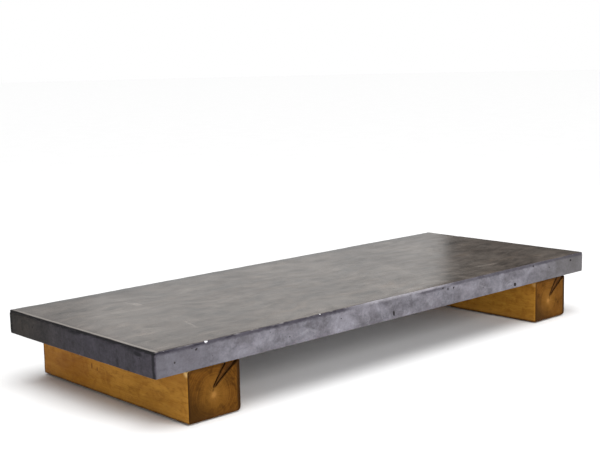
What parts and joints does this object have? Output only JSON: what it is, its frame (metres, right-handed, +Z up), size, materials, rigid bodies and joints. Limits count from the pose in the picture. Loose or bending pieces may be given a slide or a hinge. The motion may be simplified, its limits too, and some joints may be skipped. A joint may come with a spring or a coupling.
{
  "type": "backless bench",
  "caption": "Low backless bench: a thick cast concrete slab resting on squared timber beams laid across its underside near the ends, bolted from below.",
  "frame": {"origin": "on the ground, under the middle of the bench", "axes": "+X along the bench, +Y across it, +Z up"},
  "size_m": [2.16, 0.83, 0.247],
  "materials": {
    "concrete": "cast concrete, trowelled and lightly sealed on top",
    "beam_timber": "sawn boxed-heart timber, oiled",
    "bearing_rubber": "matte",
    "zinc_steel": "hot-dip zinc",
    "passivated_steel": "yellow passivated zinc",
    "rebar_steel": "mill scale with light rust",
    "spacer_plastic": "moulded",
    "pad_rubber": "matte, granular",
    "stainless_screw": "stainless"
  },
  "bodies": {
    "root": {"concrete_slab": "concrete", "left_beam": "beam_timber", "right_beam": "beam_timber", "left_bearing_strips": "bearing_rubber", "right_bearing_strips": "bearing_rubber", "beam_bolts": "zinc_steel", "bolt_washers": "zinc_steel", "threaded_sockets": "passivated_steel", "anchor_pins": "rebar_steel", "long_rebar": "rebar_steel", "cross_rebar": "rebar_steel", "rebar_spacers": "spacer_plastic", "foot_pads": "pad_rubber", "pad_screws": "stainless_screw"}
  },
  "joints": []
}
